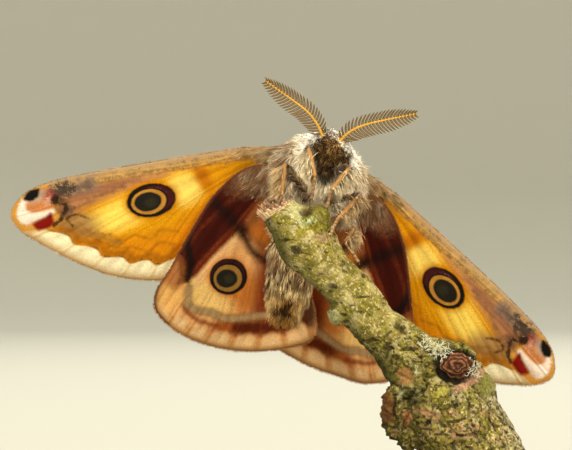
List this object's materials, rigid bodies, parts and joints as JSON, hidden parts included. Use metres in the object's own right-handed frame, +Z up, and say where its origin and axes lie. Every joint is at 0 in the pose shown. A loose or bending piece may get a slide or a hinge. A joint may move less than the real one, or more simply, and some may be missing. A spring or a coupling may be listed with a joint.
{
  "type": "emperor moth",
  "caption": "Life-size male emperor moth clinging to the broken end of a twig, feathered antennae raised and wings half spread, on a plain display stand.",
  "frame": {"origin": "middle of the underside of the display stand's base, where the model stands", "axes": "+Z up, -Y towards the moth's belly and the twig, +X towards the moth's left"},
  "size_m": [0.0744, 0.046, 0.0579],
  "materials": {
    "wing": "scaled wing membrane, orange, grey and cream with eye spots, matt",
    "leg": "tan chitin with fine hair",
    "face_coat": "short dark brown hair",
    "eye": "black faceted eye, soft gloss",
    "antenna": "olive brown chitin comb on an orange shaft",
    "body_coat": "long cream and grey brown hair",
    "bark": "bark with green algae and lichen",
    "base_wood": "dark stained, satin lacquer",
    "rod_steel": "satin"
  },
  "bodies": {
    "root": {"forewing_left": "wing", "forewing_right": "wing", "hindwing_left": "wing", "hindwing_right": "wing", "leg_fore_left": "leg", "leg_fore_right": "leg", "leg_middle_left": "leg", "leg_middle_right": "leg", "leg_hind_left": "leg", "leg_hind_right": "leg", "head": "face_coat", "eye_left": "eye", "eye_right": "eye", "antenna_left": "antenna", "antenna_right": "antenna", "thorax": "body_coat", "abdomen": "body_coat", "perch": "bark", "stand_base": "base_wood", "stand_rod": "rod_steel"}
  },
  "joints": []
}
